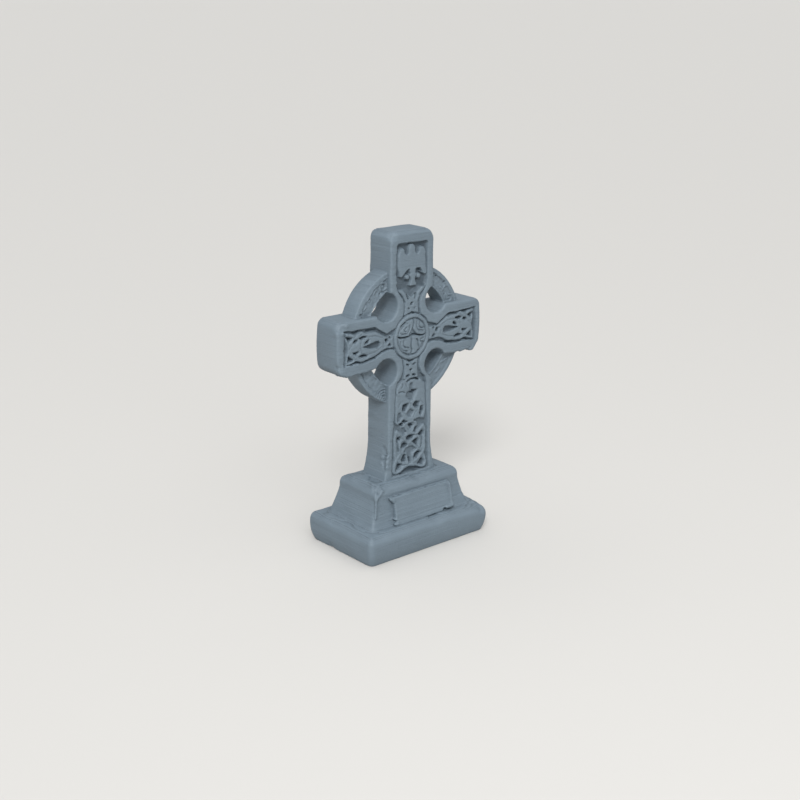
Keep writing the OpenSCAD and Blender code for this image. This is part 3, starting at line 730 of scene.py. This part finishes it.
chips = [(-6.0, -1.9, 21.0, 0.25, 0.4), (-6.0, -2.4, 20.5, 0.25, 0.5), (-6.05, -2.75, 19.9, 0.25, 0.5),
         (-6.05, -2.5, 19.2, 0.27, 0.6), (-6.1, -2.3, 18.5, 0.27, 0.65), (-6.1, -2.3, 17.8, 0.27, 0.6),
         (-6.15, -2.6, 17.1, 0.25, 0.5), (-6.2, -3.3, 19.3, 0.3, -0.35), (-6.25, -3.3, 18.2, 0.32, -0.4),
         (-6.3, -3.3, 17.2, 0.3, -0.3), (-6.15, -1.7, 18.9, 0.28, -0.3), (-6.2, -1.7, 17.6, 0.25, -0.2),
         (-18.1, -3.3, 48.1, 0.7, 0.85), (-18.7, -2.9, 46.9, 0.35, -0.25), (-16.7, -3.4, 48.2, 0.3, -0.3),
         (-17.5, -3.4, 46.9, 0.3, -0.25), (-18.3, -2.3, 48.7, 0.3, -0.2),
         (-18.3, -2.9, 40.2, 0.4, 0.3), (-17.5, -3.1, 39.0, 0.35, -0.25), (-4.9, -2.9, 64.1, 0.6, 0.45),
         (-4.9, -3.1, 63.0, 0.35, -0.16), (0.7, -6.1, 14.4, 0.3, 0.35), (-1.0, -6.2, 14.3, 0.22, 0.25),
         (-16.0, 3.2, 0.3, 0.55, 0.5), (-16.1, 1.9, 0.5, 0.35, -0.2), (-4.0, -3.2, 55.0, 0.2, -0.3),
         (-4.2, -3.3, 56.6, 0.2, 0.3), (-3.5, -3.2, 32.2, 0.22, -0.35), (4.0, -3.3, 31.6, 0.2, -0.3),
         (14.2, -9.2, 4.6, 0.5, 0.4), (15.6, -7.4, 4.4, 0.5, 0.4), (15.9, -5.4, 5.2, 0.4, -0.2),
         (18.4, -2.6, 38.9, 0.45, 0.5), (17.2, -2.9, 38.7, 0.3, -0.3), (16.2, -2.8, 38.6, 0.35, 0.35),
         (14.3, -2.9, 38.5, 0.3, -0.25), (-17.4, -1.5, 38.6, 0.4, -0.25), (-14.5, -2.5, 38.4, 0.35, 0.3),
         (-13.2, -2.9, 38.4, 0.3, -0.25), (-18.9, 0.5, 40.0, 0.3, -0.14), (-14.0, -0.6, 49.6, 0.35, -0.18)]
for chip in chips:
    dab(*chip)
print(f"{len(chips)} chips and dimples")

# %% [markdown]
# ## From numbers to a skin
# Blender's own remesher wants a closed mesh to begin with, and here there are only numbers, so the
# skin is made directly. Every small grid cell that the surface passes through gets one point, at
# the mean of where its edges cross zero. Every grid edge that crosses zero then joins the four
# cells round it with a face. This gives one closed skin with no loose faces.

# %% Skin of the field
inside = field < 0
cells = np.zeros(tuple(counts - 1), np.uint8)
corner_steps = [(i, j, k) for i in (0, 1) for j in (0, 1) for k in (0, 1)]
for i, j, k in corner_steps:
    cells += inside[i:counts[0] - 1 + i, j:counts[1] - 1 + j, k:counts[2] - 1 + k]
active = np.argwhere((cells > 0) & (cells < 8))
number = np.full(tuple(counts - 1), -1, np.int32)
number[tuple(active.T)] = np.arange(len(active))
total = np.zeros((len(active), 3))
crossings = np.zeros(len(active))
for a in corner_steps:
    for axis in range(3):
        if a[axis]:
            continue
        b = tuple(v + (n == axis) for n, v in enumerate(a))
        start = field[tuple((active + a).T)].astype(float)
        end = field[tuple((active + b).T)].astype(float)
        hit = (start < 0) != (end < 0)
        share = np.where(hit, start / np.where(hit, start - end, 1), 0)
        total += np.where(hit[:, None], np.array(a) + share[:, None] * (np.array(b) - a), 0)
        crossings += hit
points = grid_low + (active + total / crossings[:, None]) * step
print(f"{len(points)} points on the skin")

# %% Faces of the skin
quads = []
for axis in range(3):
    first = [slice(0, None)] * 3
    second = [slice(0, None)] * 3
    first[axis], second[axis] = slice(0, -1), slice(1, None)
    here, there = inside[tuple(first)], inside[tuple(second)]
    u, v = (axis + 1) % 3, (axis + 2) % 3
    for entering in (False, True):
        found = np.argwhere((here != there) & (here == entering))
        around = []
        for du, dv in ((0, 0), (-1, 0), (-1, -1), (0, -1)):
            spot = found.copy()
            spot[:, u] += du
            spot[:, v] += dv
            around.append(number[tuple(spot.T)])
        ring_of_four = np.stack(around, 1)
        quads.append(ring_of_four if entering else ring_of_four[:, ::-1])
quads = np.vstack(quads)
del field, inside, cells, number
print(f"{len(quads)} faces")

# %% [markdown]
# ## Layer steps
# The printer lays plastic in level sheets, so a surface that is nearly level breaks into terraces,
# and on an upright one each sheet sits a hair to one side. Bump alone would leave the silhouette
# smooth, so the points themselves move, after one easing that takes off the last grid marks.

# %% Ease the skin, then terrace what is nearly level
layer = 0.2
pairs = np.vstack([quads[:, [i, (i + 1) % 4]] for i in range(4)])
neighbours = np.bincount(pairs[:, 0], minlength=len(points))


def eased(places, amount):
    """Every point moved towards the mean of its neighbours."""
    pull = np.stack([np.bincount(pairs[:, 0], places[pairs[:, 1], n], len(places)) for n in range(3)], 1)
    return places + amount * (pull / neighbours[:, None] - places)


points = eased(points, 0.25)
normals = np.cross(points[quads[:, 2]] - points[quads[:, 0]], points[quads[:, 3]] - points[quads[:, 1]])
lean_up = np.zeros((len(points), 3))
for n in range(3):
    for corner in range(4):
        lean_up[:, n] += np.bincount(quads[:, corner], normals[:, n], len(points))
lean_up /= np.maximum(np.linalg.norm(lean_up, axis=1), 1e-9)[:, None]
level = np.abs(lean_up[:, 2])
sheet = (np.floor(points[:, 2] / layer) + 0.5) * layer
sheets = int(tall / layer) + 2
drift, box_gap = 0.014, 0.01
shift = np.random.default_rng(61).uniform(-1, 1, (sheets, 2)) * drift
in_sheet = np.clip(points[:, 2] / layer, 0, sheets - 1).astype(int)
upright = np.clip(1 - level * 1.6, 0, 1)[:, None] * (points[:, 2:3] > 1.0)
bulge = drift * lean_up[:, :2] * np.sin(points[:, 2:3] / layer * 2 * np.pi)
points[:, :2] += upright * (shift[in_sheet] - bulge)
most = (arm_reach - box_gap, slab_deep - box_gap)
least = (box_gap - arm_reach, box_gap - slab_deep)
points[:, :2] = np.clip(points[:, :2], least, most)
pull_up = 0.75 * ramp(level, 0.3, 0.7) * (points[:, 2] > 0.5)
points[:, 2] += pull_up * (sheet - points[:, 2])
points[:, 2] = np.clip(points[:, 2], 0, tall)
print(f"{(pull_up > 0.3).sum()} points terraced")

# %% How hollow the skin is at each point, for painted shade in the pits and a painted highlight on raised edges
rounds, full_hollow = 8, 0.16
softened = points
for _ in range(rounds):
    softened = eased(softened, 0.9)
# Above zero in hollows, where the colour gets painted shade; below zero on raised edges, where it gets a
# painted highlight
hollow = np.clip(((softened - points) * lean_up).sum(1) / full_hollow, -1, 1)
on_map = np.round((points[:, [0, 2]] - grid_low[[0, 2]]) / step[[0, 2]]).astype(int)
carved = relief[np.clip(on_map[:, 0], 0, counts[0] - 1), np.clip(on_map[:, 1], 0, counts[2] - 1)]
# Deep carving on the front counts as hollow too, so it gets painted shade as well
hollow = np.maximum(hollow, ramp(-carved, 0.35, 1.15) * (points[:, 1] < -1.5))
print(f"{(hollow > 0.5).sum()} points lie in pits")

# %% The piece itself
most_triangles = 190000
skin = bpy.data.meshes.new("ringed_cross_skin")
skin.vertices.add(len(points))
skin.vertices.foreach_set("co", (points * MM).astype(np.float32).ravel())
skin.loops.add(quads.size)
skin.loops.foreach_set("vertex_index", quads.astype(np.int32).ravel())
skin.polygons.add(len(quads))
skin.polygons.foreach_set("loop_start", np.arange(0, quads.size, 4, dtype=np.int32))
skin.update(calc_edges=True)
# The hollow value goes to the material, which paints shade and highlight from it
skin.attributes.new("hollow", "FLOAT", "POINT").data.foreach_set("value", hollow.astype(np.float32))
piece = bpy.data.objects.new("ringed_cross_print", skin)
bpy.context.scene.collection.objects.link(piece)
quad_triangles = 2 * len(quads)
thin = piece.modifiers.new("fewer faces", "DECIMATE")
thin.ratio = min(1, most_triangles / quad_triangles)
thinned = bpy.data.meshes.new_from_object(piece.evaluated_get(bpy.context.evaluated_depsgraph_get()))
piece.modifiers.clear()
piece.data = thinned
thinned.name = "ringed_cross_thinned"
thinned.shade_smooth()
print(f"{len(thinned.polygons)} faces after thinning")

# %% [markdown]
# ## The plastic
# Bare printing plastic: matt, blue-grey, with fine level lines from the layers. On top of that the
# colour has painted shade in the pits and a painted highlight on raised edges. One flat colour would
# hide all that, and a painted map would have to be wrapped round every strap, so colour, roughness
# and bump are worked out from the place on the piece and from how hollow it is there.

# %% A wrapper for shader maths


class Wire:
    """One socket of a node tree, with Python operators that add Math nodes."""

    def __init__(self, tree, socket):
        self.tree = tree
        self.socket = socket

    def maths(self, operation, *values):
        """A Math node on wires and numbers."""
        return self.tree.node("ShaderNodeMath", {"operation": operation}, dict(enumerate(values)))

    def __add__(self, other):
        return self.maths("ADD", self, other)

    def __sub__(self, other):
        return self.maths("SUBTRACT", self, other)

    def __rsub__(self, other):
        return self.maths("SUBTRACT", other, self)

    def __mul__(self, other):
        return self.maths("MULTIPLY", self, other)

    __radd__ = __add__
    __rmul__ = __mul__


class Tree:
    """The node tree of a material or a world."""

    def __init__(self, owner):
        owner.use_nodes = True
        self.nodes = owner.node_tree.nodes
        self.links = owner.node_tree.links
        self.nodes.clear()

    def node(self, kind, settings=None, inputs=None, output=0):
        """Any node: its settings first, then the values or wires of its sockets."""
        made = self.nodes.new(kind)
        for name, value in (settings or {}).items():
            setattr(made, name, value)
        for name, value in (inputs or {}).items():
            if isinstance(value, Wire):
                self.links.new(value.socket, made.inputs[name])
            else:
                made.inputs[name].default_value = value
        return Wire(self, made.outputs[output]) if made.outputs else made


print("shader maths ready for +, - and *")

# %% Blue-grey print plastic, with painted shade in pits and a painted highlight on raised edges
shade = frame["record"]["materials"][0]["base_color"]
# The darker colour is painted shade for the pits, the lighter one a painted highlight for raised edges
pit_shade_factors, edge_highlight_factors = (0.17, 0.2, 0.23), (1.04, 1.1, 1.14)
painted_pit_shade = [s * f for s, f in zip(shade, pit_shade_factors)]
painted_edge_highlight = [s * f for s, f in zip(shade, edge_highlight_factors)]
plastic = bpy.data.materials.new("blue_grey_print_plastic")
tree = Tree(plastic)
place = tree.node("ShaderNodeTexCoord", output="Object")
stretched = tree.node("ShaderNodeMapping", {}, {"Vector": place, "Scale": (60, 60, 4200)})
lines = tree.node("ShaderNodeTexNoise", {}, {"Vector": stretched, "Scale": 1.0, "Detail": 2.0})
patches = tree.node("ShaderNodeTexNoise", {}, {"Vector": place, "Scale": 120.0, "Detail": 3.0})
grain = tree.node("ShaderNodeTexNoise", {}, {"Vector": place, "Scale": 2600.0, "Detail": 2.0})
pits = tree.node("ShaderNodeAttribute", {"attribute_name": "hollow"}, output="Fac")
in_pit = tree.node("ShaderNodeMapRange", {"clamp": True}, {
    "Value": pits, "From Min": -0.5, "From Max": 0.8, "To Min": 0.0, "To Max": 1.0})
# Painted shade where the skin is hollow and a painted highlight where it is raised, with noise patches and
# layer lines mixed in
painted_light_and_tone = 0.72 * (1 - in_pit) + 0.2 * patches + 0.08 * lines
colour = tree.node("ShaderNodeMix", {"data_type": "RGBA"}, {
    0: painted_light_and_tone, 6: (*painted_pit_shade, 1), 7: (*painted_edge_highlight, 1)}, output=2)
unevenness_of_skin = 0.7 * lines + 0.3 * grain
bump = tree.node("ShaderNodeBump", {}, {
    "Height": unevenness_of_skin, "Strength": 1.0, "Distance": 0.00013})
surface = tree.node("ShaderNodeBsdfPrincipled", {}, {
    "Base Color": colour, "Roughness": 0.5 + 0.16 * patches, "Normal": bump, "Specular IOR Level": 0.35})
tree.node("ShaderNodeOutputMaterial", {}, {"Surface": surface})
piece.data.materials.clear()
piece.data.materials.append(plastic)
print(f"plastic mixed from {[round(c, 3) for c in shade]}")

# %% Hand the piece over
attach(piece, "root")
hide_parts("ringed_cross")
print(f"{piece.name} stands in for the CAD piece")

# %% [markdown]
# ## Floor, light and camera
# A small print is shown on pale paper under soft light, which leaves only a faint shadow. The floor
# is flat, and far away it rises a little, so that no horizon line shows. A backdrop wall would do
# that too, but it would throw light back. An even sky, a soft light from above, a lamp from the
# front left and a weak low fill light the piece. The camera looks down a little on its near left
# corner.

# %% Floor, in metres
flat_half, edge_half, edge_rise = 10.0, 40.0, 0.35
signs = [(-1, -1), (1, -1), (1, 1), (-1, 1)]
corners = [(x * flat_half, y * flat_half, 0) for x, y in signs]
corners += [(x * edge_half, y * edge_half, edge_rise) for x, y in signs]
slopes = [(side, (side + 1) % 4, (side + 1) % 4 + 4, side + 4) for side in range(4)]
floor_mesh = bpy.data.meshes.new("table_top")
floor_mesh.from_pydata(corners, [], [(0, 1, 2, 3)] + slopes)
floor = bpy.data.objects.new("table_top", floor_mesh)
bpy.context.scene.collection.objects.link(floor)
pale = bpy.data.materials.new("pale_paper")
paper = Tree(pale)
sheet_surface = paper.node("ShaderNodeBsdfPrincipled", {}, {
    "Base Color": (0.56, 0.55, 0.53, 1), "Roughness": 0.9, "Specular IOR Level": 0.1})
paper.node("ShaderNodeOutputMaterial", {}, {"Surface": sheet_surface})
floor_mesh.materials.append(pale)
print(f"floor flat for {flat_half:.0f} m, then up {edge_rise} m by {edge_half:.0f} m")

# %% Sky and soft light
world = bpy.data.worlds.new("even_sky")
bpy.context.scene.world = world
sky = Tree(world)
glow = sky.node("ShaderNodeBackground", {}, {"Color": (0.97, 0.985, 1.0, 1), "Strength": 0.26})
sky.node("ShaderNodeOutputWorld", {}, {"Surface": glow})


def facing(name, kind, azimuth, elevation, distance, energy):
    """A light of some kind that faces the middle of the piece from one side."""
    lamp = bpy.data.lights.new(name, kind)
    lamp.energy = energy
    a, e = radians(azimuth), radians(elevation)
    away = Vector((sin(a) * cos(e), -cos(a) * cos(e), sin(e)))
    made = bpy.data.objects.new(name, lamp)
    made.location = away * distance + Vector((0, 0, tall * MM / 2))
    made.rotation_euler = away.to_track_quat("Z", "Y").to_euler()
    bpy.context.scene.collection.objects.link(made)
    return lamp


facing("white_ceiling", "SUN", -41, 88, 1, 1.95).angle = radians(110)
facing("front_left_lamp", "SUN", -46, 38, 1, 2.05).angle = radians(18)
facing("low_fill", "AREA", -25, 30, 0.33, 0.32).size = 0.25
bpy.context.scene.view_settings.view_transform = "Standard"
print(f"{len(bpy.data.lights)} lights and an even sky")
# %% Camera
azimuth, elevation, tilt = radians(-40.98), radians(17.52), radians(0.69)
target = Vector((-0.06, 0, 29.5)) * MM
distance = 262.5 * MM
back = Vector((sin(azimuth) * cos(elevation), -cos(azimuth) * cos(elevation), sin(elevation)))
level_right = Vector((cos(azimuth), sin(azimuth), 0))
level_up = back.cross(level_right)
camera_right = level_right * cos(tilt) + level_up * sin(tilt)
camera_up = level_up * cos(tilt) - level_right * sin(tilt)
lens = bpy.data.cameras.new("studio_camera")
lens.sensor_width = 36
lens.lens = 57.87
lens.clip_start = 0.01
camera = bpy.data.objects.new("studio_camera", lens)
camera.matrix_world = Matrix.Translation(target + back * distance) @ Matrix(
    (camera_right, camera_up, back)).transposed().to_4x4()
bpy.context.scene.collection.objects.link(camera)
bpy.context.scene.camera = camera
print(f"camera {distance / MM:.0f} mm away, {lens.lens:.1f} mm lens")
